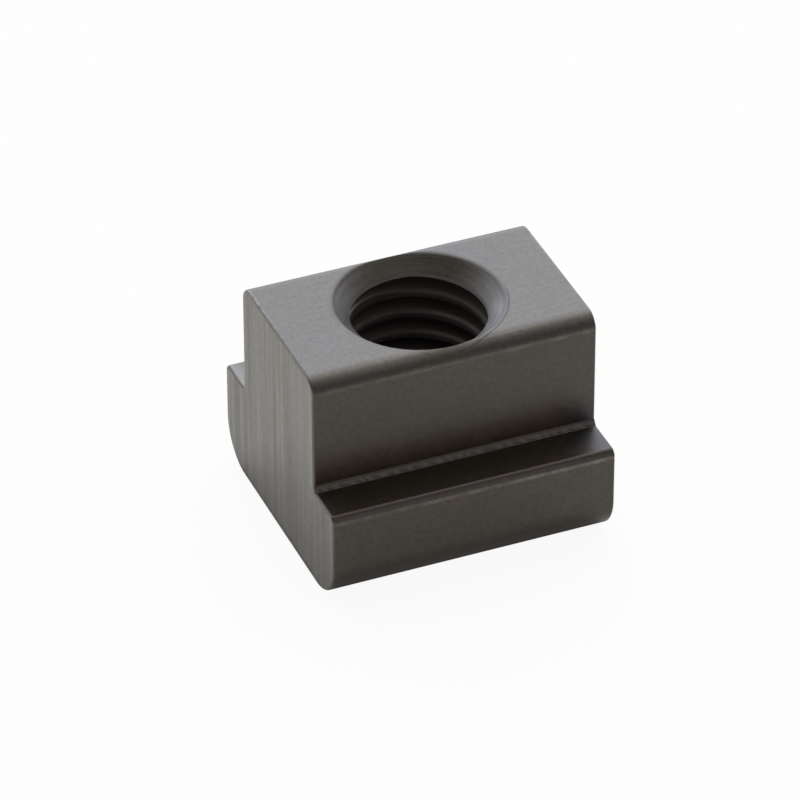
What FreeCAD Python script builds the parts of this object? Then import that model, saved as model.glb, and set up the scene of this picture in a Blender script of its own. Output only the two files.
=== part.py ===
import FreeCAD, Part
import math
import os

# A nut for T-shaped slots: one short steel bar of T section, with a threaded hole through its height.
# Millimetres. X runs along the slot, Y across it and Z up. The origin is the middle of the underside.

# Driving dimensions of the bar
length = 18.3
height = 14.4
neck_width = 11.4
flange_width = 17.6
flange_height = 6.6

# Rounded edges of the section, and the narrow flat that breaks the edges of its two ends
neck_top_radius = 1.2
flange_top_radius = 0.5
flange_bottom_radius = 2.85
inner_corner_radius = 0.4
end_chamfer = 0.15

# Right-hand metric thread, cut in a drilled hole and countersunk at both mouths
thread_diameter = 10.0
thread_pitch = 1.5
thread_angle = 60.0
countersink_angle = 90.0
countersink_margin = 0.35
first_crest_depth = 2.76

# How far cutting solids run past the faces that they cut, and how many turns the groove runs past each mouth
overrun = 0.2
spare_turns = 1

# The hole's wall is drawn as this many arcs, so each turn of the crest is a row of short faces
wall_arcs = 8

thread_radius = thread_diameter / 2
drill_radius = (thread_diameter - thread_pitch) / 2
countersink_radius = thread_radius + countersink_margin
thread_root_width = thread_pitch / 8


def rounded_outline(corners):
    """Closed wire in the YZ plane through corners (y, z, radius), each turned into an arc of its radius."""
    arcs = []
    for i, (y, z, radius) in enumerate(corners):
        here = FreeCAD.Vector(0, y, z)
        before = (FreeCAD.Vector(0, *corners[i - 1][:2]) - here).normalize()
        after = (FreeCAD.Vector(0, *corners[(i + 1) % len(corners)][:2]) - here).normalize()
        half_angle = before.getAngle(after) / 2
        start = here + before * (radius / math.tan(half_angle))
        end = here + after * (radius / math.tan(half_angle))
        inward = (before + after).normalize()
        middle = here + inward * (radius / math.sin(half_angle) - radius)
        arcs.append((start, middle, end))
    edges = []
    for i, (start, middle, end) in enumerate(arcs):
        edges.append(Part.Arc(start, middle, end).toShape())
        edges.append(Part.makeLine(end, arcs[(i + 1) % len(arcs)][0]))
    return Part.Wire(edges)


def make_bar():
    """The T section with its rounded long edges, run along X and broken round both ends."""
    foot = flange_width / 2
    neck = neck_width / 2
    outline = rounded_outline([
        (-foot, 0, flange_bottom_radius),
        (foot, 0, flange_bottom_radius),
        (foot, flange_height, flange_top_radius),
        (neck, flange_height, inner_corner_radius),
        (neck, height, neck_top_radius),
        (-neck, height, neck_top_radius),
        (-neck, flange_height, inner_corner_radius),
        (-foot, flange_height, flange_top_radius),
    ])
    bar = Part.Face(outline).extrude(FreeCAD.Vector(length, 0, 0))
    bar.translate(FreeCAD.Vector(-length / 2, 0, 0))
    end_edges = [edge for edge in bar.Edges if abs(edge.CenterOfMass.x) > length / 2 - end_chamfer]
    return bar.makeChamfer(end_chamfer, end_edges)


def make_drilling():
    """The drilled hole before the thread is cut, its wall made of equal arcs."""
    turn = 2 * math.pi / wall_arcs
    edges = []
    for i in range(wall_arcs):
        points = []
        for angle in (i * turn, (i + 0.5) * turn, (i + 1) * turn):
            x = drill_radius * math.cos(angle)
            y = drill_radius * math.sin(angle)
            points.append(FreeCAD.Vector(x, y, -overrun))
        edges.append(Part.Arc(*points).toShape())
    return Part.Face(Part.Wire(edges)).extrude(FreeCAD.Vector(0, 0, height + 2 * overrun))


def make_countersink(mouth, outward):
    """A cone whose rim has the countersink's radius at height mouth; outward is 1 at the top and -1 below."""
    slope = math.tan(math.radians(countersink_angle / 2))
    depth = countersink_radius / slope
    wide = countersink_radius + overrun * slope
    tip = FreeCAD.Vector(0, 0, mouth - outward * depth)
    return Part.makeCone(0, wide, depth + overrun, tip, FreeCAD.Vector(0, 0, outward))


def make_groove():
    """The helical groove between the thread's crests, which runs out of both ends of the hole."""
    half_root = thread_root_width / 2
    inner_radius = drill_radius - overrun
    half_mouth = half_root + (thread_radius - inner_radius) * math.tan(math.radians(thread_angle / 2))
    turns_below = math.ceil(height / thread_pitch) + spare_turns
    start = height - first_crest_depth + thread_pitch / 2 - turns_below * thread_pitch
    corners = [
        FreeCAD.Vector(inner_radius, 0, -half_mouth),
        FreeCAD.Vector(thread_radius, 0, -half_root),
        FreeCAD.Vector(thread_radius, 0, half_root),
        FreeCAD.Vector(inner_radius, 0, half_mouth),
    ]
    profile = Part.makePolygon(corners + corners[:1])
    rise = (turns_below + 2 * spare_turns) * thread_pitch
    helix = Part.makeLongHelix(thread_pitch, rise, drill_radius, 0)
    groove = Part.Wire(helix).makePipeShell([profile], True, True)
    groove.translate(FreeCAD.Vector(0, 0, start))
    return groove


def make_nut():
    """The finished nut, as one solid."""
    nut = make_bar()
    nut = nut.cut(make_drilling())
    nut = nut.cut(make_countersink(height, 1))
    nut = nut.cut(make_countersink(0, -1))
    nut = nut.cut(make_groove())
    return nut.Solids[0]


os.makedirs("parts", exist_ok=True)
make_nut().exportStep("parts/t_slot_nut.step")
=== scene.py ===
import math

import bmesh
import bpy
import numpy as np
from mathutils import Matrix, Vector


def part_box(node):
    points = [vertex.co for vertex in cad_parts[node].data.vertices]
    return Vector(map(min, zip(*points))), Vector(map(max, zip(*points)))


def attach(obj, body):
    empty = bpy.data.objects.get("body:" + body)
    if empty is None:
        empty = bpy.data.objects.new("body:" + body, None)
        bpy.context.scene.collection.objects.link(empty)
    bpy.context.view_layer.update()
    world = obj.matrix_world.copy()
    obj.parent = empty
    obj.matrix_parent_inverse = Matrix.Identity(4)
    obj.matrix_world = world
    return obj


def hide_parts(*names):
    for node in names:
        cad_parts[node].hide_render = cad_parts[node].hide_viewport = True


# A T-slot nut in blackened steel on a white table. Metres, in the CAD frame: X along the bar, Y across it
# and Z up. Only the materials are painted in millimetres.

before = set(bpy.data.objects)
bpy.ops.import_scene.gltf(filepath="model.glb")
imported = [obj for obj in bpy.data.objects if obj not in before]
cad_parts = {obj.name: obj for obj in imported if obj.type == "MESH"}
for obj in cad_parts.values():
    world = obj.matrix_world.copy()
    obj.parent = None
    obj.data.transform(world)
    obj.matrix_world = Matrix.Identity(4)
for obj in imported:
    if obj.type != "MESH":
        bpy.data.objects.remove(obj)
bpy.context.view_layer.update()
MM = 0.001

# The bar's section and length, as in the CAD part, whose box gives the outer sizes.
# FOOT and NECK are half the widths of the flange and the neck, and LEDGE is the flange's height.
bar_low, bar_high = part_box("t_slot_nut")
HALF_LENGTH = bar_high.x
FOOT = bar_high.y
TOP = bar_high.z
NECK = 5.7 * MM
LEDGE = 6.6 * MM
FOOT_RADIUS = 2.85 * MM

# The edges of the ends are rounded by as much as the CAD part's are chamfered
END_EDGE_RADIUS = 0.15 * MM
END_EDGE_STEPS = 5

# Points of the section whose heights differ by less than this are level
SAME_LEVEL = 1e-9

# Each inner corner has a narrow slope, with small arcs at its borders
INNER_CORNER_WIDTH = 0.26 * MM
INNER_CORNER_HEIGHT = 0.36 * MM
INNER_CORNER_RADIUS = 0.08 * MM

# The flange's upper edges are broken by a facet, with arcs at its borders
LEDGE_EDGE_WIDTH = 0.3 * MM
LEDGE_EDGE_RADIUS = 0.18 * MM
LEDGE_EDGE_UPPER_RADIUS = 1.8 * LEDGE_EDGE_RADIUS

# The neck's upper edges are rolled over by arcs that stop short of a quarter turn, with a faint crease below
ROLLED_ANGLE = math.radians(75)
CREASE_RADIUS = 0.3 * MM
CREASE_ANGLE = math.pi / 2 - ROLLED_ANGLE
CREASE_GAP = 0.01 * MM
NECK_TOP_RADIUS = 1.09 * MM
NECK_TOP_REACH = NECK_TOP_RADIUS * math.tan(ROLLED_ANGLE / 2)
CREASE_REACH = CREASE_RADIUS * math.tan(CREASE_ANGLE / 2)
NECK_TOP_DROP = (NECK_TOP_REACH + CREASE_REACH + CREASE_GAP) * math.sin(ROLLED_ANGLE)

# The thread. The photo shows its smallest radius a little under the CAD part's.
THREAD_RADIUS = 5.0 * MM
THREAD_PITCH = 1.5 * MM
THREAD_HALF_ANGLE = math.radians(30)
DRILL_RADIUS = 4.19 * MM
FIRST_CREST_DEPTH = 2.76 * MM
CREST_ROUNDING = 0.06 * MM
ROUNDING_SAMPLES = 9

# Depths below a mouth at which the groove's middle starts to fade and has run out
GROOVE_FADES = 1.70 * MM
GROOVE_ENDS = 1.38 * MM

# How far the tap runs past the mouths, and how many points it has around and along each turn
TURNS_BELOW_MOUTH = 1
TURNS_ABOVE_FIRST_CREST = 3
TAP_TIP = THREAD_PITCH / 3
STEPS_AROUND = 176
STEPS_PER_PITCH = 24

# The countersinks, whose rims are rounded down to a small last slope, and how far their cutting solids reach
RIM_RADIUS = 5.2 * MM
RIM_ROUNDING = 0.4 * MM
RIM_LAST_SLOPE = math.radians(8)
RIM_STEPS = 8
CONE_DEPTH = 1.01 * MM
CONE_SLOPE = math.atan(CONE_DEPTH / (RIM_RADIUS - DRILL_RADIUS))
COUNTERSINK_REACH_OUT = 0.8 * MM
COUNTERSINK_REACH_UP = 2 * MM

# After the cuts, points this close are one, and faces with more corners than this are split
SAME_POINT = 0.002 * MM
MOST_CORNERS = 6

# How the surfaces are told apart: by their normals' shares along X, along Z and towards the hole's axis
END_LEAST_ALONG_X = 0.995
END_DEPTH = 0.02 * MM
SLOPE_LEAST_ALONG_Z = 0.5
SLOPE_MOST_ALONG_Z = 0.9
HOLE_LEAST_TOWARDS_AXIS = 0.01

# Edges sharper than this stay sharp, and large faces have the most say in the normals of the others
SHARP_ANGLE = math.radians(32)
LARGE_FACES_WEIGHT = 100

# The camera's place and aim. Angles are in degrees, and azimuth 0 looks along +Y. AIM_RIGHT and AIM_DOWN
# are how many pixels the aim point lies right of and below the middle of the picture.
IMAGE_SIDE = 800
SENSOR_WIDTH = 36.0
LENS = 270.0
CAMERA_AZIMUTH = -22.541
CAMERA_ELEVATION = 35.408
CAMERA_DISTANCE = 0.3642
AIM_POINT = Vector((0, 0, 6.4 * MM))
AIM_RIGHT = 18.75
AIM_DOWN = 8.87

# The table and the lamp
WHITE = (1.0, 1.0, 1.0, 1.0)
FLOOR_SIDE = 12.0
FLOOR_COLOR = (0.76, 0.72, 0.665, 1.0)
FLOOR_GLOW_SEEN = 0.93
FLOOR_GLOW_REFLECTED = 0.07
SOFTBOX_TOWARDS = Vector((0.31, 0.52, 0.79))
SOFTBOX_DISTANCE = 1.6
SOFTBOX_SIZE = (1.2, 2.0)
SOFTBOX_LEVEL = 0.64
LIGHT_COLOR = (0.815, 0.875, 1.0)

# The sky is dim in front, lighter behind, and has a soft patch round this direction for a diffused window
SKY_FRONT = 0.335
SKY_BACK = 1.76
PATCH_TOWARDS = Vector((0.0, 0.63, 0.77))
PATCH_LEVEL = 1.36
PATCH_FALLOFF = 1.5
PATCH_MIDDLE_X = 0.31
PATCH_HALF_WIDTH_FULL = 0.3
PATCH_HALF_WIDTH_NONE = 0.8
PATCH_LOWEST_RISE = -0.1
PATCH_RISE_SPAN = 1.05


def new_mesh_object(name, points, faces):
    """A linked mesh object from points and faces."""
    mesh = bpy.data.meshes.new(name)
    mesh.from_pydata([tuple(p) for p in points], [], [tuple(f) for f in faces])
    mesh.validate()
    mesh.update()
    thing = bpy.data.objects.new(name, mesh)
    bpy.context.scene.collection.objects.link(thing)
    return thing


def rounded_outline(corners):
    """Points and outward normals in the YZ plane, anticlockwise, from corners (y, z, radius, steps)."""
    points = []
    normals = []
    for i, (y, z, radius, steps) in enumerate(corners):
        here = np.array((y, z))
        before = np.array(corners[i - 1][:2]) - here
        after = np.array(corners[(i + 1) % len(corners)][:2]) - here
        before /= np.linalg.norm(before)
        after /= np.linalg.norm(after)
        half_angle = math.acos(before @ after) / 2
        sweep = math.pi - 2 * half_angle
        inward = (before + after) / np.linalg.norm(before + after)
        centre = here + inward * radius / math.sin(half_angle)
        first = (here + before * radius / math.tan(half_angle) - centre) / radius
        last = (here + after * radius / math.tan(half_angle) - centre) / radius
        convex = before[0] * after[1] - before[1] * after[0] < 0
        for k in range(steps + 1):
            angle = sweep * k / steps
            spoke = (first * math.sin(sweep - angle) + last * math.sin(angle)) / math.sin(sweep)
            points.append(centre + spoke * radius)
            normals.append(spoke if convex else -spoke)
    return np.array(points), np.array(normals)


def section():
    """The T section's outline, from its right half's corners (y, z, radius, steps) and the same mirrored."""
    neck_edge = NECK - NECK_TOP_DROP / math.tan(ROLLED_ANGLE)
    right = [
        (FOOT, 0, FOOT_RADIUS, 24),
        (FOOT, LEDGE - LEDGE_EDGE_WIDTH, LEDGE_EDGE_RADIUS, 5),
        (FOOT - LEDGE_EDGE_WIDTH, LEDGE, LEDGE_EDGE_UPPER_RADIUS, 6),
        (NECK + INNER_CORNER_WIDTH, LEDGE, INNER_CORNER_RADIUS, 3),
        (NECK, LEDGE + INNER_CORNER_HEIGHT, INNER_CORNER_RADIUS, 3),
        (NECK, TOP - NECK_TOP_DROP, CREASE_RADIUS, 2),
        (neck_edge, TOP, NECK_TOP_RADIUS, 18),
    ]
    left = [(-y, z, radius, steps) for y, z, radius, steps in right[::-1]]
    return rounded_outline(right + left)


def cap_strips(outline):
    """The outline's inside as level strips between its two mirrored halves."""
    n = len(outline)
    strips = []
    right = [0]
    for k in range(1, n // 2):
        right.append(k)
        level_run = k + 1 < n // 2 and abs(outline[k + 1][1] - outline[k][1]) < SAME_LEVEL
        if not level_run:
            strips.append(right + [n - 1 - j for j in reversed(right)])
            right = [k]
    return strips


def make_bar():
    """The T bar without its hole, with the edges of its ends rounded."""
    outline, normals = section()
    stations = []
    for k in range(END_EDGE_STEPS + 1):
        angle = math.pi / 2 * k / END_EDGE_STEPS
        x = HALF_LENGTH - END_EDGE_RADIUS * (1 - math.cos(angle))
        stations.append((x, END_EDGE_RADIUS * (1 - math.sin(angle))))
    stations = [(-x, inset) for x, inset in stations] + stations[::-1]
    points = []
    for x, inset in stations:
        for y, z in outline - normals * inset:
            points.append((x, y, z))
    n = len(outline)
    last = n * (len(stations) - 1)
    faces = []
    for strip in cap_strips(outline):
        faces.append(strip[::-1])
        faces.append([last + k for k in strip])
    for s in range(len(stations) - 1):
        for k in range(n):
            a = s * n + k
            b = s * n + (k + 1) % n
            faces.append((a, b, b + n, a + n))
    return new_mesh_object("nut_body", points, faces)


def thread_profile():
    """Radius at equal steps along one pitch, from a crest's middle, with its corners rounded.

    The flat at the groove's bottom is an eighth of the pitch.
    """
    half_root = THREAD_PITCH / 16
    flank = (THREAD_RADIUS - DRILL_RADIUS) * math.tan(THREAD_HALF_ANGLE)
    half_crest = THREAD_PITCH / 2 - half_root - flank
    around = np.linspace(-CREST_ROUNDING, CREST_ROUNDING, ROUNDING_SAMPLES)
    radii = []
    for k in range(STEPS_PER_PITCH):
        along = (k / STEPS_PER_PITCH * THREAD_PITCH + around) % THREAD_PITCH
        from_crest = np.minimum(along, THREAD_PITCH - along)
        share = np.clip((from_crest - half_crest) / flank, 0, 1)
        radii.append(DRILL_RADIUS + (THREAD_RADIUS - DRILL_RADIUS) * float(share.mean()))
    return radii


def make_tap():
    """The solid that cuts the drilled hole and its thread, which fades out just short of the countersinks.

    Its rows of points follow the helix, one pitch a turn, and a blunt cone closes it at each end.
    """
    radii = thread_profile()
    turns_below = math.ceil(TOP / THREAD_PITCH) + TURNS_BELOW_MOUTH
    start = TOP - FIRST_CREST_DEPTH - turns_below * THREAD_PITCH
    rows = (turns_below + TURNS_ABOVE_FIRST_CREST) * STEPS_PER_PITCH
    points = []
    for j in range(rows + STEPS_PER_PITCH + 1):
        for i in range(STEPS_AROUND):
            turn = i / STEPS_AROUND
            z = start + THREAD_PITCH * (j / STEPS_PER_PITCH + turn)
            middle = start + THREAD_PITCH * (j // STEPS_PER_PITCH + 0.5 + turn)
            share = float(np.interp(min(middle, TOP - middle), (GROOVE_ENDS, GROOVE_FADES), (0.0, 1.0)))
            radius = radii[j % STEPS_PER_PITCH] - (1 - share) * (THREAD_RADIUS - DRILL_RADIUS)
            radius = max(DRILL_RADIUS, radius)
            points.append((radius * math.cos(2 * math.pi * turn), radius * math.sin(2 * math.pi * turn), z))

    def index(i, j):
        """The point at step i of row j. Past a full turn it is in the row one pitch higher."""
        return (j + STEPS_PER_PITCH * (i // STEPS_AROUND)) * STEPS_AROUND + i % STEPS_AROUND

    faces = []
    for j in range(rows):
        for i in range(STEPS_AROUND):
            faces.append((index(i, j), index(i + 1, j), index(i + 1, j + 1), index(i, j + 1)))
    below = len(points)
    points.append((0, 0, start - TAP_TIP))
    above = len(points)
    points.append((0, 0, start + THREAD_PITCH * (rows / STEPS_PER_PITCH + 1) + TAP_TIP))
    seam = range(STEPS_PER_PITCH, 0, -1)
    foot = [index(i, 0) for i in range(STEPS_AROUND)] + [index(0, j) for j in seam]
    head = [index(i, rows) for i in range(STEPS_AROUND)] + [index(0, rows + j) for j in seam]
    for k in range(len(foot)):
        faces.append((below, foot[(k + 1) % len(foot)], foot[k]))
        faces.append((above, head[k], head[(k + 1) % len(head)]))
    return new_mesh_object("tap", points, faces)


def make_countersink(mouth, outward):
    """The solid that cuts a countersink with a rounded rim; outward is 1 at the top and -1 below."""
    rings = []
    centre_radius = RIM_RADIUS + RIM_ROUNDING * math.tan(CONE_SLOPE / 2)
    for slope in np.linspace(CONE_SLOPE, RIM_LAST_SLOPE, RIM_STEPS):
        radius = centre_radius - RIM_ROUNDING * math.sin(slope)
        depth = RIM_ROUNDING * (1 - math.cos(slope))
        rings.append((radius, mouth - outward * depth))
    last_radius, last_z = rings[-1]
    last_rise = COUNTERSINK_REACH_OUT * math.tan(RIM_LAST_SLOPE)
    rings.append((last_radius + COUNTERSINK_REACH_OUT, last_z + outward * last_rise))
    points = []
    for radius, z in rings:
        for i in range(STEPS_AROUND):
            angle = 2 * math.pi * (i + 0.5) / STEPS_AROUND
            points.append((radius * math.cos(angle), radius * math.sin(angle), z))
    tip = len(points)
    points.append((0, 0, mouth - outward * RIM_RADIUS * math.tan(CONE_SLOPE)))
    cap = len(points)
    points.append((0, 0, mouth + outward * COUNTERSINK_REACH_UP))
    faces = []
    last = (len(rings) - 1) * STEPS_AROUND
    for i in range(STEPS_AROUND):
        j = (i + 1) % STEPS_AROUND
        faces.append((tip, j, i))
        faces.append((cap, last + i, last + j))
        for r in range(len(rings) - 1):
            low = r * STEPS_AROUND
            faces.append((low + i, low + j, low + STEPS_AROUND + j, low + STEPS_AROUND + i))
    if outward < 0:
        faces = [face[::-1] for face in faces]
    return new_mesh_object("countersink", points, faces)


def clean_cuts(mesh):
    """Joins the points that a cut leaves almost on top of one another, and splits faces with many corners."""
    work = bmesh.new()
    work.from_mesh(mesh)
    bmesh.ops.remove_doubles(work, verts=work.verts, dist=SAME_POINT)
    bmesh.ops.dissolve_degenerate(work, edges=work.edges, dist=SAME_POINT)
    wide = [face for face in work.faces if len(face.verts) > MOST_CORNERS]
    bmesh.ops.triangulate(work, faces=wide, ngon_method="BEAUTY")
    work.to_mesh(mesh)
    work.free()


def cut(body, tools):
    """Takes each tool out of body's mesh, and removes the tools."""
    for tool in tools:
        cutter = body.modifiers.new(tool.name, "BOOLEAN")
        cutter.operation = "DIFFERENCE"
        cutter.solver = "MANIFOLD"
        cutter.object = tool
    graph = bpy.context.evaluated_depsgraph_get()
    solid = bpy.data.meshes.new_from_object(body.evaluated_get(graph))
    body.modifiers.clear()
    body.data = solid
    for tool in tools:
        bpy.data.objects.remove(tool)
    clean_cuts(solid)


def surface_of(face):
    """The name of the surface that a face belongs to."""
    x, y, z = face.center
    off_axis = math.hypot(x, y)
    towards_axis = -(face.normal.x * x + face.normal.y * y) / off_axis
    from_mouth = min(z, TOP - z)
    if off_axis < RIM_RADIUS + RIM_ROUNDING and towards_axis > HOLE_LEAST_TOWARDS_AXIS:
        return "countersink" if from_mouth < CONE_DEPTH else "thread"
    if abs(face.normal.x) > END_LEAST_ALONG_X and abs(x) > HALF_LENGTH - END_DEPTH:
        return "end"
    sloping = SLOPE_LEAST_ALONG_Z < abs(face.normal.z) < SLOPE_MOST_ALONG_Z
    beside_neck = abs(y) < NECK + INNER_CORNER_WIDTH
    if sloping and beside_neck and LEDGE < z < LEDGE + INNER_CORNER_HEIGHT:
        return "inner_corner"
    return "long_face"


def finish_surfaces(body, materials):
    """Gives each face its material and makes rounded faces smooth while flat ones stay flat."""
    body.data.materials.clear()
    for material in materials.values():
        body.data.materials.append(material)
    slots = list(materials)
    for face in body.data.polygons:
        surface = surface_of(face)
        face.material_index = slots.index(surface)
        face.use_smooth = surface != "end"
    body.data.set_sharp_from_angle(angle=SHARP_ANGLE)
    beside = {}
    for face in body.data.polygons:
        for key in face.edge_keys:
            beside.setdefault(key, set()).add(slots[face.material_index])
    for edge in body.data.edges:
        if {"countersink", "long_face"} <= beside[edge.key]:
            edge.use_edge_sharp = True
    weigh = body.modifiers.new("even_normals", "WEIGHTED_NORMAL")
    weigh.keep_sharp = True
    weigh.weight = LARGE_FACES_WEIGHT


# The colour sockets of a mix node, by their places, as it has others of the same names
MIX_COLOR_A = 6
MIX_COLOR_B = 7
MIX_COLOR_RESULT = 2

# A noise goes from 0 to 1, but is mostly between these
NOISE_MOSTLY_OVER = 0.3
NOISE_MOSTLY_UNDER = 0.7


class Graph:
    """A node tree, with short calls for the nodes that the materials share."""

    def __init__(self, tree):
        self.tree = tree
        tree.nodes.clear()

    def put(self, value, socket):
        """Links an output into a socket, or sets the socket to a number, colour or vector."""
        if isinstance(value, bpy.types.NodeSocket):
            self.tree.links.new(value, socket)
        else:
            socket.default_value = value

    def node(self, kind, inputs=(), **settings):
        """A new node with its settings and its inputs."""
        made = self.tree.nodes.new(kind)
        for name, value in settings.items():
            setattr(made, name, value)
        for key, value in dict(inputs).items():
            self.put(value, made.inputs[key])
        return made

    def math(self, operation, a, b=0.0, clamp=False):
        """One operation on a and b; clamp keeps its result from 0 to 1."""
        return self.node("ShaderNodeMath", {0: a, 1: b}, operation=operation, use_clamp=clamp).outputs[0]

    def product(self, first, *others):
        """All of the values multiplied."""
        for other in others:
            first = self.math("MULTIPLY", first, other)
        return first

    def scaled(self, vector, factors):
        """The vector with each coordinate multiplied by its own factor."""
        return self.node("ShaderNodeVectorMath", {0: vector, 1: factors}, operation="MULTIPLY").outputs[0]

    def parts(self, vector):
        """The vector's x, y and z."""
        return self.node("ShaderNodeSeparateXYZ", {0: vector}).outputs

    def off_axis(self, x, y):
        """The distance from the hole's axis."""
        square = self.math("ADD", self.math("MULTIPLY", x, x), self.math("MULTIPLY", y, y))
        return self.math("SQRT", square)

    def noise(self, vector, scale, detail, roughness):
        """A noise from about 0 to 1 round 0.5, with scale features a unit."""
        inputs = {"Vector": vector, "Scale": scale, "Detail": detail, "Roughness": roughness}
        return self.node("ShaderNodeTexNoise", inputs).outputs[0]

    def band(self, value, low, high, to_low=0.0, to_high=1.0):
        """Value mapped smoothly from low..high to to_low..to_high."""
        inputs = {"Value": value, "From Min": low, "From Max": high, "To Min": to_low, "To Max": to_high}
        return self.node("ShaderNodeMapRange", inputs, interpolation_type="SMOOTHSTEP").outputs[0]

    def spread(self, noise, low, high):
        """The noise turned into values that are mostly from low to high."""
        return self.band(noise, NOISE_MOSTLY_OVER, NOISE_MOSTLY_UNDER, low, high)

    def stripe(self, value, middle, half_width):
        """1 where value is at the middle of the stripe, falling smoothly to 0 at its borders."""
        away = self.math("ABSOLUTE", self.math("SUBTRACT", value, middle))
        return self.band(away, 0.0, half_width, 1.0, 0.0)

    def tint(self, share, a, b):
        """Colour a where share is 0 and b where it is 1."""
        made = self.node("ShaderNodeMix", {"Factor": share}, data_type="RGBA")
        self.put(a, made.inputs[MIX_COLOR_A])
        self.put(b, made.inputs[MIX_COLOR_B])
        return made.outputs[MIX_COLOR_RESULT]

    def bump(self, height, distance, normal=None):
        """A bump that stands out by distance metres where height is 1."""
        inputs = {"Height": height, "Distance": distance, "Strength": 1.0}
        if normal is not None:
            inputs["Normal"] = normal
        return self.node("ShaderNodeBump", inputs).outputs[0]


# The oxide's colours, as linear red, green, blue and alpha: first the milled faces, with painted light and
# shade
OXIDE_BROWN = (0.094, 0.0845, 0.0735, 1.0)
OXIDE_GREY = (0.092, 0.0865, 0.0785, 1.0)
# Painted tints of reflections: cool at the front ledge's +X end, warm on the front ledge and the neck's foot
PAINTED_LEDGE_END_TINT = (0.072, 0.069, 0.073, 1.0)
PAINTED_LEDGE_TINT = (0.098, 0.077, 0.057, 1.0)
PAINTED_NECK_FOOT_TINT = (0.132, 0.100, 0.072, 1.0)
# Painted shade: beside the rim, along the flange's upper edge, at the inner corners' sides and at the ends'
# foot
PAINTED_SHADE_OXIDE = (0.056, 0.046, 0.041, 1.0)
# Painted shade along the foot, in the colour and in the reflection at grazing angles
PAINTED_FOOT_SHADE = (0.036, 0.031, 0.025, 1.0)
PAINTED_FOOT_SHADE_GRAZING = (0.34, 0.31, 0.27, 1.0)
# Painted highlight along the creases
PAINTED_CREASE_HIGHLIGHT = (0.200, 0.186, 0.166, 1.0)
# The rubbed bands of the sawn ends, and the painted highlights on the ends' edges
RUBBED_AND_HIGHLIGHT_OXIDE = (0.252, 0.240, 0.217, 1.0)
# Painted highlight along the middle of the inner corners
PAINTED_CORNER_HIGHLIGHT = (0.120, 0.109, 0.098, 1.0)

# The sawn ends and the countersinks
OXIDE_SAWN = (0.188, 0.183, 0.166, 1.0)
OXIDE_TURNED = (0.150, 0.143, 0.134, 1.0)
# The countersinks' painted shade at the back, painted light at -X and painted highlight in front at +X
PAINTED_CONE_SHADE = (0.075, 0.067, 0.056, 1.0)
PAINTED_CONE_LIGHT = (0.185, 0.177, 0.173, 1.0)
PAINTED_CONE_HIGHLIGHT = (0.385, 0.366, 0.354, 1.0)

# The tapped hole
# Painted light on the wall near both mouths
PAINTED_WALL_LIGHT = (0.300, 0.285, 0.270, 1.0)
OXIDE_CREST = (0.047, 0.037, 0.035, 1.0)
# Painted light on the flanks at the sides
PAINTED_FLANK_LIGHT = (0.145, 0.128, 0.120, 1.0)
OXIDE_GROOVE = (0.050, 0.037, 0.033, 1.0)

# The materials are painted in millimetres, and these are the places that they paint from
HALF_LENGTH_MM = HALF_LENGTH / MM
FOOT_MM = FOOT / MM
NECK_MM = NECK / MM
LEDGE_MM = LEDGE / MM
TOP_MM = TOP / MM
DRILL_MM = DRILL_RADIUS / MM
NECK_CREASE_MM = (TOP - NECK_TOP_DROP) / MM - 0.06
LEDGE_CREASE_MM = (LEDGE - LEDGE_EDGE_WIDTH) / MM - 0.17
# The middle of the painted shade along the flange's upper edge
SHADED_EDGE_MM = LEDGE_MM - 0.07
EDGE_LINE_HALF_WIDTH = 0.22

# Painted shade on the top face: a dark arc beside the countersink, plainest towards this angle from +X
RIM_MARK_ANGLE = math.radians(-40)
RIM_MARK_RADIUS = 5.41
RIM_MARK_HALF_WIDTH = 0.11

# The cutter's marks in the inner corners, and how far they swell the painted highlight of the ridge between
# its two sides of painted shade
CUTTER_MARK_SPACING = 0.78
CUTTER_MARK_SLANT = 1.1
CUTTER_MARK_SWAY = 2.4
CUTTER_MARK_SWELL = 0.03
CUTTER_RIDGE_HALF_WIDTH = 0.24


def new_steel(name):
    """A material with its graph, its coordinates in millimetres and its shader."""
    material = bpy.data.materials.new(name)
    material.use_nodes = True
    graph = Graph(material.node_tree)
    place = graph.node("ShaderNodeTexCoord").outputs["Object"]
    place = graph.scaled(place, (1 / MM, 1 / MM, 1 / MM))
    shader = graph.node("ShaderNodeBsdfPrincipled", {"Metallic": 1.0})
    output = graph.node("ShaderNodeOutputMaterial")
    graph.put(shader.outputs[0], output.inputs[0])
    return material, graph, place, shader


def dress(graph, shader, color, roughness, bumps):
    """Gives the shader its colour, roughness and bumps, each a height and the metres that 1 stands for."""
    graph.put(color, shader.inputs["Base Color"])
    graph.put(roughness, shader.inputs["Roughness"])
    normal = None
    for height, distance in bumps:
        normal = graph.bump(height, distance, normal)
    graph.put(normal, shader.inputs["Normal"])


def etched_grain(graph, place):
    """The fine grain that the blackening leaves on the milled and turned faces."""
    return graph.noise(place, 3.6, 3.0, 0.62)


def mottled(graph, color, speckle, depth):
    """The colour made lighter and darker by about that depth as the speckle goes over and under a half.

    A noise keeps to about a quarter on each side of a half, and 4 times that is 1.
    """
    speckle = graph.math("MULTIPLY", graph.math("SUBTRACT", speckle, 0.5), 4.0)
    factor = graph.math("ADD", graph.math("MULTIPLY", speckle, depth), 1.0)
    return graph.node("ShaderNodeVectorMath", {0: color, "Scale": factor}, operation="SCALE").outputs[0]


def distance_from_end(graph, x):
    """The distance from the bar's nearer end."""
    return graph.math("SUBTRACT", HALF_LENGTH_MM, graph.math("ABSOLUTE", x))


def blotches(graph, place):
    """The oxide's colour, between brown and grey in soft patches."""
    patches = graph.noise(place, 0.45, 3.0, 0.6)
    return graph.tint(graph.band(patches, 0.4, 0.62), OXIDE_BROWN, OXIDE_GREY)


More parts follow.
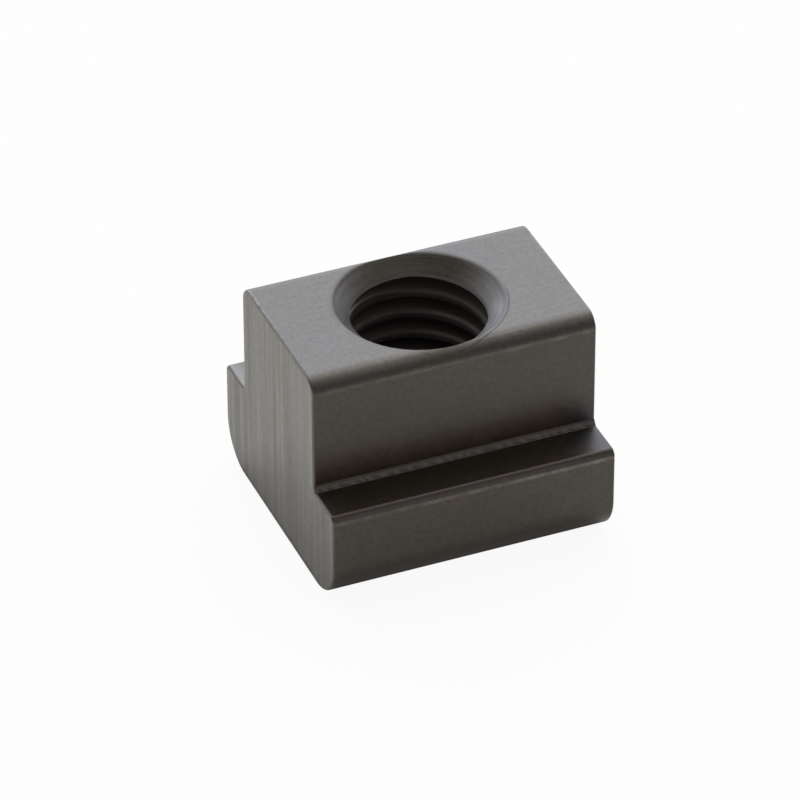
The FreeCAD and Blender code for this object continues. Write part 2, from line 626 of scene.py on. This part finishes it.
def painted_corner_tint(graph, place):
    """The painted warm tint of reflections on the front ledge, fading up the neck: its share and its colour.
    """
    x, y, z = graph.parts(place)
    up_the_neck = graph.band(z, LEDGE_MM + 0.4, LEDGE_MM + 3.0, 0.85, 0.0)
    above_flange = graph.band(z, LEDGE_MM - 0.1, LEDGE_MM - 0.02)
    in_front = graph.band(y, -3.0, 3.0, 1.0, 0.0)
    behind_edge = graph.band(y, -FOOT_MM + 0.15, -FOOT_MM + 0.45)
    corner_tint = graph.product(up_the_neck, above_flange, in_front, behind_edge)
    on_the_neck = graph.band(z, LEDGE_MM + 0.05, LEDGE_MM + 0.3)
    near_the_end = graph.band(x, 6.0, 8.6)
    color = graph.tint(on_the_neck, PAINTED_LEDGE_TINT, PAINTED_NECK_FOOT_TINT)
    return corner_tint, graph.tint(near_the_end, color, PAINTED_LEDGE_END_TINT)


def painted_crease_highlights(graph, place):
    """Painted highlights in patches along the creases below the broken edges, more so towards +X."""
    x, y, z = graph.parts(place)
    neck_crease = graph.stripe(z, NECK_CREASE_MM, EDGE_LINE_HALF_WIDTH)
    ledge_crease = graph.stripe(z, LEDGE_CREASE_MM, EDGE_LINE_HALF_WIDTH)
    creases = graph.math("ADD", graph.math("MULTIPLY", neck_crease, 0.45), ledge_crease)
    patches = graph.noise(graph.scaled(place, (0.9, 0.4, 0.4)), 1.0, 3.0, 0.6)
    patches = graph.band(patches, 0.38, 0.66, 0.25, 1.0)
    towards_end = graph.band(x, -9.0, 9.0, 0.45, 1.0)
    return graph.math("MULTIPLY", graph.product(creases, patches), towards_end, clamp=True)


def painted_end_highlights(graph, place, lines):
    """Painted highlights on the ends' edges: all a little, the top's in streaks, the back ledge's corner
    more.
    """
    x, y, z = graph.parts(place)
    from_end = distance_from_end(graph, x)
    near_end = graph.band(from_end, 0.06, 0.24, 1.0, 0.0)
    at_top = graph.band(z, TOP_MM - 0.7, TOP_MM - 0.2)
    towards_back = graph.band(y, -1.0, 4.5, 0.1, 0.55)
    streaks = graph.band(lines, 0.3, 0.6, 0.2, 1.0)
    top_edge = graph.product(near_end, at_top, towards_back, streaks)
    near_minus_x = graph.band(x, -9.1, -7.6, 0.32, 0.0)
    at_back = graph.band(y, 5.6, 6.4)
    at_ledge = graph.band(z, LEDGE_MM - 0.5, LEDGE_MM - 0.1)
    ledge_corner = graph.product(near_minus_x, at_back, at_ledge)
    every_edge = graph.band(from_end, 0.0, 0.13, 0.42, 0.0)
    return graph.math("MAXIMUM", graph.math("MAXIMUM", top_edge, ledge_corner), every_edge)


def rim_shade_arc(graph, place):
    """Painted shade: a thin dark arc on the top face beside the countersink, on one side of the hole."""
    x, y, z = graph.parts(place)
    off_axis = graph.off_axis(x, y)
    ring = graph.stripe(off_axis, RIM_MARK_RADIUS, RIM_MARK_HALF_WIDTH)
    along_x = graph.math("MULTIPLY", x, math.cos(RIM_MARK_ANGLE))
    along_y = graph.math("MULTIPLY", y, math.sin(RIM_MARK_ANGLE))
    facing = graph.math("DIVIDE", graph.math("ADD", along_x, along_y), off_axis)
    return graph.math("MULTIPLY", ring, graph.band(facing, 0.7, 0.95, 0.15, 1.0))


def painted_edge_shade(graph, place):
    """Painted shade along the flange's broken upper edge, thinner where the edge meets the ledge."""
    x, y, z = graph.parts(place)
    line = graph.stripe(z, SHADED_EDGE_MM, EDGE_LINE_HALF_WIDTH)
    below_ledge = graph.band(z, LEDGE_MM - 0.012, LEDGE_MM - 0.002, 1.0, 0.5)
    return graph.math("MULTIPLY", line, below_ledge)


def foot_shade(graph, place):
    """Painted shade: a soft dark line along the foot, which leaves out the ends' edges and the underside."""
    x, y, z = graph.parts(place)
    from_end = distance_from_end(graph, x)
    low = graph.band(z, 0.45, 1.35, 0.9, 0.0)
    off_the_end = graph.band(from_end, 0.05, 0.5)
    off_the_underside = graph.band(z, 0.03, 0.5)
    return graph.product(low, off_the_end, off_the_underside)


def milled_faces():
    """The milled top, sides and underside: faint lines along the bar, a fine etched grain, painted highlights
    and shade.
    """
    material, graph, place, shader = new_steel("blackened_steel_milled")
    x, y, z = graph.parts(place)
    grain = etched_grain(graph, place)
    lines = graph.noise(graph.scaled(place, (0.25, 5.0, 5.0)), 1.0, 3.0, 0.6)
    rim_shade = rim_shade_arc(graph, place)
    shade = foot_shade(graph, place)
    # Painted warm tint of reflections at the front corner
    corner_tint, corner_tint_color = painted_corner_tint(graph, place)
    color = graph.tint(corner_tint, blotches(graph, place), corner_tint_color)
    # Painted highlights along the creases
    color = graph.tint(painted_crease_highlights(graph, place), color, PAINTED_CREASE_HIGHLIGHT)
    # Painted shade in the dark arc beside the rim
    color = graph.tint(graph.math("MULTIPLY", rim_shade, 0.95), color, PAINTED_SHADE_OXIDE)
    # Painted shade along the flange's upper edge
    color = graph.tint(painted_edge_shade(graph, place), color, PAINTED_SHADE_OXIDE)
    # Painted highlights on the ends' edges
    color = graph.tint(painted_end_highlights(graph, place, lines), color, RUBBED_AND_HIGHLIGHT_OXIDE)
    # Painted shade along the foot
    color = graph.tint(shade, color, PAINTED_FOOT_SHADE)
    on_top = graph.band(z, TOP_MM - 0.3, TOP_MM - 0.1)
    color = mottled(graph, color, grain, graph.band(on_top, 0.0, 1.0, 0.14, 0.19))
    color = mottled(graph, color, lines, graph.math("MULTIPLY", on_top, 0.08))
    corner_tint_haze = graph.math("MULTIPLY", corner_tint, 0.08)
    roughness = graph.math("ADD", graph.spread(grain, 0.32, 0.38), corner_tint_haze)
    # The painted shade along the foot also dims its reflection at grazing angles
    graph.put(graph.tint(shade, WHITE, PAINTED_FOOT_SHADE_GRAZING), shader.inputs["Specular Tint"])
    dress(graph, shader, color, roughness, [(lines, 2e-6), (grain, 5e-6), (rim_shade, 1.2e-5)])
    return material


def inner_corners():
    """The narrow slope in each inner corner: cutter marks like a rope's lay, painted highlight and shade."""
    material, graph, place, shader = new_steel("blackened_steel_cutter_marks")
    x, y, z = graph.parts(place)
    grain = etched_grain(graph, place)
    slant = graph.math("ADD", x, graph.math("MULTIPLY", z, CUTTER_MARK_SLANT))
    sway = graph.math("MULTIPLY", graph.noise(place, 0.5, 2.0, 0.5), CUTTER_MARK_SWAY)
    phase = graph.math("MULTIPLY", graph.math("ADD", slant, sway), 2 * math.pi / CUTTER_MARK_SPACING)
    marks = graph.math("SINE", phase)
    swollen = graph.math("ADD", z, graph.math("MULTIPLY", marks, CUTTER_MARK_SWELL))
    ridge = graph.stripe(swollen, LEDGE_MM + INNER_CORNER_HEIGHT / MM / 2, CUTTER_RIDGE_HALF_WIDTH)
    # Painted highlight along the ridge and painted shade at its sides
    color = graph.tint(ridge, PAINTED_SHADE_OXIDE, PAINTED_CORNER_HIGHLIGHT)
    color = mottled(graph, color, graph.band(marks, -1.0, 1.0, 0.25, 0.75), 0.12)
    roughness = graph.spread(grain, 0.34, 0.40)
    dress(graph, shader, color, roughness, [(marks, 5e-6), (grain, 4e-6)])
    return material


def rubbed_end(graph, place, lines):
    """Where the sawn ends are smoothed: along their front and back edges, and in the neck's middle."""
    x, y, z = graph.parts(place)
    half_width = graph.band(z, LEDGE_MM - 0.3, LEDGE_MM + 0.3, FOOT_MM, NECK_MM)
    from_side = graph.math("SUBTRACT", half_width, graph.math("ABSOLUTE", y))
    beside_edges = graph.band(from_side, 0.15, 0.75, 1.0, 0.0)
    streaks = graph.band(lines, 0.3, 0.6, 0.6, 1.0)
    up_the_neck = graph.band(z, 4.0, 8.0, 0.0, 0.6)
    middle = graph.math("MULTIPLY", graph.stripe(y, -1.0, 3.0), up_the_neck)
    rubbed = graph.math("MAXIMUM", graph.math("MULTIPLY", beside_edges, streaks), middle)
    return graph.math("MULTIPLY", rubbed, 0.8)


def painted_end_foot_shade(graph, place, grain):
    """Painted shade in specks along the foot of the sawn ends."""
    x, y, z = graph.parts(place)
    low = graph.band(z, 0.15, 0.65, 0.8, 0.0)
    specks = graph.band(grain, 0.35, 0.6, 0.3, 1.0)
    return graph.math("MULTIPLY", low, specks)


def sawn_ends():
    """The two cut ends: upright saw lines, coarse and fine, with rubbed bands and painted shade at the foot.
    """
    material, graph, place, shader = new_steel("blackened_steel_sawn")
    coarse = graph.noise(graph.scaled(place, (1.0, 1.1, 0.035)), 1.0, 2.0, 0.5)
    lines = graph.noise(graph.scaled(place, (1.0, 2.3, 0.06)), 1.0, 3.0, 0.6)
    grain = graph.noise(place, 3.0, 3.0, 0.6)
    color = graph.tint(rubbed_end(graph, place, lines), OXIDE_SAWN, RUBBED_AND_HIGHLIGHT_OXIDE)
    # Painted shade in specks at the ends' foot
    color = graph.tint(painted_end_foot_shade(graph, place, grain), color, PAINTED_SHADE_OXIDE)
    color = mottled(graph, color, lines, 0.29)
    color = mottled(graph, color, grain, 0.14)
    roughness = graph.spread(coarse, 0.33, 0.41)
    dress(graph, shader, color, roughness, [(coarse, 1.2e-5), (lines, 9e-6), (grain, 2.5e-6)])
    return material


def countersinks():
    """The turned cones at the hole's mouths: painted shade at the back, painted light at -X, a painted
    highlight at +X in front.
    """
    material, graph, place, shader = new_steel("blackened_steel_turned")
    x, y, z = graph.parts(place)
    rings = graph.noise(graph.scaled(place, (0.25, 0.25, 4.5)), 1.0, 3.0, 0.7)
    grain = etched_grain(graph, place)
    towards_back = graph.band(y, -2.5, 3.5)
    towards_minus_x = graph.band(x, -4.4, -0.6, 0.75, 0.0)
    cone_highlight = graph.math("MULTIPLY", graph.band(y, -3.8, -0.4, 1.0, 0.0), graph.band(x, 1.6, 3.6))
    at_rim = graph.band(graph.off_axis(x, y), 4.95, 5.2)
    # Painted shade at the back, painted light at -X and a painted highlight in front at +X
    color = graph.tint(towards_back, OXIDE_TURNED, PAINTED_CONE_SHADE)
    color = graph.tint(towards_minus_x, color, PAINTED_CONE_LIGHT)
    color = graph.tint(cone_highlight, color, PAINTED_CONE_HIGHLIGHT)
    color = graph.tint(at_rim, color, OXIDE_GREY)
    color = mottled(graph, color, rings, 0.22)
    color = mottled(graph, color, grain, 0.12)
    roughness = graph.spread(grain, 0.38, 0.46)
    dress(graph, shader, color, roughness, [(rings, 1.2e-5), (grain, 6e-6)])
    return material


def tapped_hole():
    """The thread: oil in its groove, painted light on the flanks at the sides and the wall at both mouths."""
    material, graph, place, shader = new_steel("blackened_steel_tapped")
    x, y, z = graph.parts(place)
    grain = graph.noise(place, 5.0, 3.0, 0.6)
    dirt = graph.noise(place, 0.8, 3.0, 0.6)
    off_axis = graph.off_axis(x, y)
    from_mouth = graph.math("MINIMUM", z, graph.math("SUBTRACT", TOP_MM, z))
    on_drill = graph.band(off_axis, DRILL_MM + 0.02, DRILL_MM + 0.12, 1.0, 0.0)
    wall = graph.math("MULTIPLY", on_drill, graph.band(from_mouth, 1.4, 1.9, 1.0, 0.0))
    groove = graph.band(off_axis, DRILL_MM + 0.08, DRILL_MM + 0.34)
    flank = graph.stripe(off_axis, DRILL_MM + 0.13, 0.2)
    towards_plus_x = graph.band(x, 0.9, 3.6, 0.05, 1.0)
    towards_minus_x = graph.band(x, -3.4, -1.4, 0.55, 0.0)
    flank_light = graph.math("MAXIMUM", towards_plus_x, towards_minus_x)
    flank_light = graph.math("MULTIPLY", flank_light, graph.band(from_mouth, 2.0, 4.0, 0.35, 1.0))
    color = graph.tint(graph.band(dirt, 0.35, 0.75, 0.0, 0.3), OXIDE_CREST, OXIDE_BROWN)
    color = graph.tint(groove, color, OXIDE_GROOVE)
    # Painted light on the flanks at the sides and on the wall at the mouths
    color = graph.tint(graph.math("MULTIPLY", flank, flank_light), color, PAINTED_FLANK_LIGHT)
    color = graph.tint(wall, color, PAINTED_WALL_LIGHT)
    graph.put(0.25, shader.inputs["Metallic"])
    graph.put(0.25, shader.inputs["Specular IOR Level"])
    roughness = graph.spread(grain, 0.60, 0.68)
    dress(graph, shader, color, roughness, [(grain, 4e-6)])
    return material


def make_floor():
    """A white table. It looks and reflects nearly white, and keeps a pale shadow."""
    half = FLOOR_SIDE / 2
    corners = [(-half, -half, 0), (half, -half, 0), (half, half, 0), (-half, half, 0)]
    floor = new_mesh_object("floor", corners, [(0, 1, 2, 3)])
    material = bpy.data.materials.new("white_table")
    material.use_nodes = True
    graph = Graph(material.node_tree)
    rays = graph.node("ShaderNodeLightPath").outputs
    reflected = graph.math("MAXIMUM", rays["Is Glossy Ray"], rays["Is Transmission Ray"])
    seen = graph.math("MULTIPLY", rays["Is Camera Ray"], FLOOR_GLOW_SEEN)
    glow = graph.math("ADD", graph.math("MULTIPLY", reflected, FLOOR_GLOW_REFLECTED), seen)
    paper = graph.node("ShaderNodeBsdfDiffuse", {"Color": FLOOR_COLOR})
    white = graph.node("ShaderNodeEmission", {"Color": WHITE, "Strength": 1.0})
    mix = graph.node("ShaderNodeMixShader", {0: glow, 1: paper.outputs[0], 2: white.outputs[0]})
    output = graph.node("ShaderNodeOutputMaterial")
    graph.put(mix.outputs[0], output.inputs[0])
    floor.data.materials.append(material)


def make_sky():
    """A plain studio, dim in front of the nut and light behind it, with a soft bright patch overhead."""
    world = bpy.data.worlds.new("studio")
    bpy.context.scene.world = world
    world.use_nodes = True
    graph = Graph(world.node_tree)
    direction = graph.node("ShaderNodeTexCoord").outputs["Generated"]
    x, y, z = graph.parts(direction)
    behind = graph.band(y, -0.1, 1.0)
    sky = graph.math("ADD", graph.math("MULTIPLY", behind, SKY_BACK - SKY_FRONT), SKY_FRONT)
    rise_from_y = graph.math("MULTIPLY", y, PATCH_TOWARDS.y)
    rise_from_z = graph.math("MULTIPLY", z, PATCH_TOWARDS.z)
    rise = graph.math("ADD", rise_from_y, rise_from_z)
    rise = graph.math("SUBTRACT", rise, PATCH_LOWEST_RISE)
    rise = graph.math("DIVIDE", rise, PATCH_RISE_SPAN, clamp=True)
    beside = graph.math("ABSOLUTE", graph.math("SUBTRACT", x, PATCH_MIDDLE_X))
    width = graph.band(beside, PATCH_HALF_WIDTH_FULL, PATCH_HALF_WIDTH_NONE, PATCH_LEVEL, 0.0)
    patch = graph.math("MULTIPLY", graph.math("POWER", rise, PATCH_FALLOFF), width)
    level = graph.math("ADD", sky, patch)
    color = graph.tint(behind, WHITE, (*LIGHT_COLOR, 1.0))
    back = graph.node("ShaderNodeBackground", {"Color": color, "Strength": level})
    output = graph.node("ShaderNodeOutputWorld")
    graph.put(back.outputs[0], output.inputs[0])


def make_softbox():
    """A large soft lamp, behind and above the nut."""
    lamp = bpy.data.lights.new("softbox", "AREA")
    lamp.shape = "RECTANGLE"
    lamp.size, lamp.size_y = SOFTBOX_SIZE
    lamp.energy = SOFTBOX_LEVEL * math.pi * SOFTBOX_SIZE[0] * SOFTBOX_SIZE[1]
    lamp.color = LIGHT_COLOR
    holder = bpy.data.objects.new("softbox", lamp)
    bpy.context.scene.collection.objects.link(holder)
    towards = SOFTBOX_TOWARDS.normalized()
    holder.location = towards * SOFTBOX_DISTANCE
    holder.rotation_mode = "QUATERNION"
    holder.rotation_quaternion = (-towards).to_track_quat("-Z", "Y")
    holder.visible_camera = False


def make_camera():
    """The photograph's view: the aim point lies right of and below the middle of the picture."""
    lens = bpy.data.cameras.new("camera")
    lens.sensor_width = SENSOR_WIDTH
    lens.lens = LENS
    lens.clip_start = 0.01
    lens.clip_end = 100.0
    camera = bpy.data.objects.new("camera", lens)
    bpy.context.scene.collection.objects.link(camera)
    a = math.radians(CAMERA_AZIMUTH)
    e = math.radians(CAMERA_ELEVATION)
    back = Vector((math.sin(a) * math.cos(e), -math.cos(a) * math.cos(e), math.sin(e)))
    right = Vector((math.cos(a), math.sin(a), 0))
    up = back.cross(right)
    turn = Matrix((right, up, back)).transposed().to_4x4()
    focal = LENS / SENSOR_WIDTH * IMAGE_SIDE
    turn = turn @ Matrix.Rotation(math.atan(AIM_RIGHT / focal), 4, "Y")
    turn = turn @ Matrix.Rotation(math.atan(AIM_DOWN / focal), 4, "X")
    camera.matrix_world = Matrix.Translation(AIM_POINT + back * CAMERA_DISTANCE) @ turn
    bpy.context.scene.camera = camera


make_camera()
make_sky()
make_softbox()
make_floor()

nut = make_bar()
cut(nut, [make_tap(), make_countersink(TOP, 1), make_countersink(0, -1)])
finish_surfaces(nut, {
    "long_face": milled_faces(),
    "inner_corner": inner_corners(),
    "end": sawn_ends(),
    "countersink": countersinks(),
    "thread": tapped_hole(),
})
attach(nut, "root")
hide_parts("t_slot_nut")

bpy.context.scene.view_settings.view_transform = "Standard"
